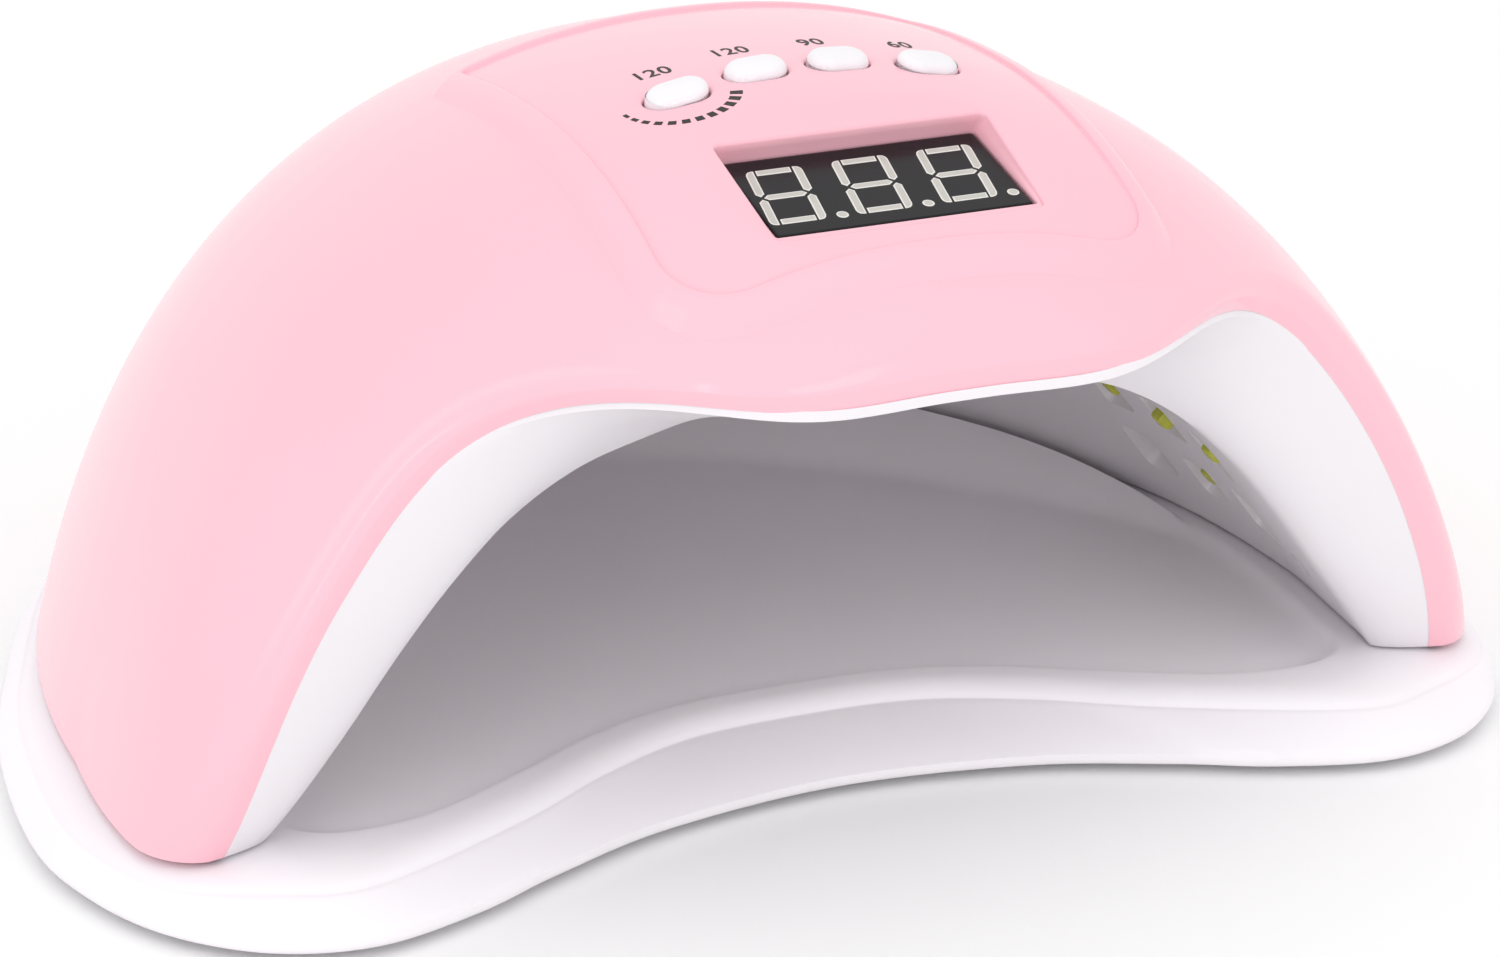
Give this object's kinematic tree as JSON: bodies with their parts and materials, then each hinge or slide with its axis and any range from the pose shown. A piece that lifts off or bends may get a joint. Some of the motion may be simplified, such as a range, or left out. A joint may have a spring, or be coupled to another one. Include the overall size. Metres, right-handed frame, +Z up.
{
  "type": "uv led nail lamp",
  "caption": "Domed nail curing lamp with a visor front, hand opening, tilted three-digit display, row of push buttons and a loose dished base plate.",
  "frame": {"origin": "middle of the footprint, on the surface the lamp stands on", "axes": "+Z up, -Y the front with the hand opening, +X to the right seen from the front"},
  "size_m": [0.224, 0.2101, 0.1064],
  "materials": {
    "white_plastic": "satin moulded",
    "grey_rubber": "matt",
    "plated_steel": "nickel plated",
    "pink_gloss": "high gloss moulded",
    "black_display": "smoked gloss",
    "segment_diffuser": "diffuser",
    "white_button": "gloss",
    "switch_metal": "stamped",
    "green_board": "solder mask",
    "black_plastic": "moulded",
    "capacitor_sleeve": "shrink sleeve",
    "ivory_nylon": "moulded",
    "white_board": "white solder mask",
    "led_phosphor": "phosphor lens",
    "dark_lens": "dark lens",
    "screw_steel": "zinc plated",
    "red_wire": "insulation",
    "black_wire": "insulation"
  },
  "bodies": {
    "base": {"base_plate": "white_plastic", "rubber_feet": "grey_rubber", "base_keeper_discs": "plated_steel"},
    "lamp_body": {"top_shell": "pink_gloss", "inner_liner": "white_plastic", "display_module": "black_display", "display_segments": "segment_diffuser", "tact_switches": "switch_metal", "control_board": "green_board", "mcu_chip": "black_plastic", "electrolytic_capacitors": "capacitor_sleeve", "power_inductor": "black_plastic", "board_connectors": "ivory_nylon", "led_board_left": "white_board", "led_board_right": "white_board", "led_board_roof": "white_board", "led_board_rear": "white_board", "uv_leds": "led_phosphor", "ir_emitter": "dark_lens", "ir_receiver": "dark_lens", "dc_jack": "black_plastic", "case_screws": "screw_steel", "board_screws": "screw_steel", "led_board_screws": "screw_steel", "body_magnets": "plated_steel", "led_leads": "red_wire", "power_leads": "black_wire"},
    "press_low_heat": {"button_low_heat": "white_button", "plunger_low_heat": "black_plastic"},
    "press_120s": {"button_120s": "white_button", "plunger_120s": "black_plastic"},
    "press_90s": {"button_90s": "white_button", "plunger_90s": "black_plastic"},
    "press_60s": {"button_60s": "white_button", "plunger_60s": "black_plastic"}
  },
  "joints": [
    {"name": "lamp_lift_off", "type": "slide", "parent": "base", "child": "lamp_body", "axis": [0, 0, 1], "range_m": [0, 0.06]},
    {"name": "press_low_heat_travel", "type": "slide", "parent": "lamp_body", "child": "press_low_heat", "axis": [0, 0.1994, -0.9799], "range_m": [0, 0.0006], "stiffness_N_per_m": 400},
    {"name": "press_120s_travel", "type": "slide", "parent": "lamp_body", "child": "press_120s", "axis": [0, 0.1994, -0.9799], "range_m": [0, 0.0006], "stiffness_N_per_m": 400},
    {"name": "press_90s_travel", "type": "slide", "parent": "lamp_body", "child": "press_90s", "axis": [0, 0.1994, -0.9799], "range_m": [0, 0.0006], "stiffness_N_per_m": 400},
    {"name": "press_60s_travel", "type": "slide", "parent": "lamp_body", "child": "press_60s", "axis": [0, 0.1994, -0.9799], "range_m": [0, 0.0006], "stiffness_N_per_m": 400}
  ]
}
